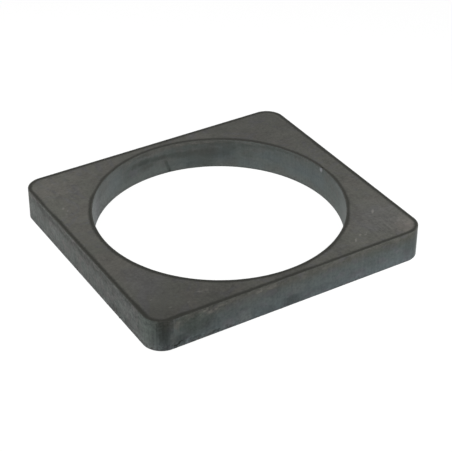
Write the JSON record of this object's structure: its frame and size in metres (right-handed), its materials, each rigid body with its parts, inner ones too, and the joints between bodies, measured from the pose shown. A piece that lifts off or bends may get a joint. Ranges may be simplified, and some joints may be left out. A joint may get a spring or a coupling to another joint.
{
  "type": "locking plate",
  "caption": "Flat oblong steel plate with rounded corners and a large round central hole, laser-cut, with its mill scale left on.",
  "frame": {"origin": "centre of the round hole, in the plane of the plate's underside", "axes": "+Z through the plate's thickness, out of its top face; +X along its longer side, +Y along its shorter side"},
  "size_m": [0.11, 0.1, 0.012],
  "materials": {
    "hot_rolled_steel": "matt dark grey mill scale on both faces, blue-grey cut walls, edges broken"
  },
  "bodies": {
    "root": {"locking_plate": "hot_rolled_steel"}
  },
  "joints": []
}
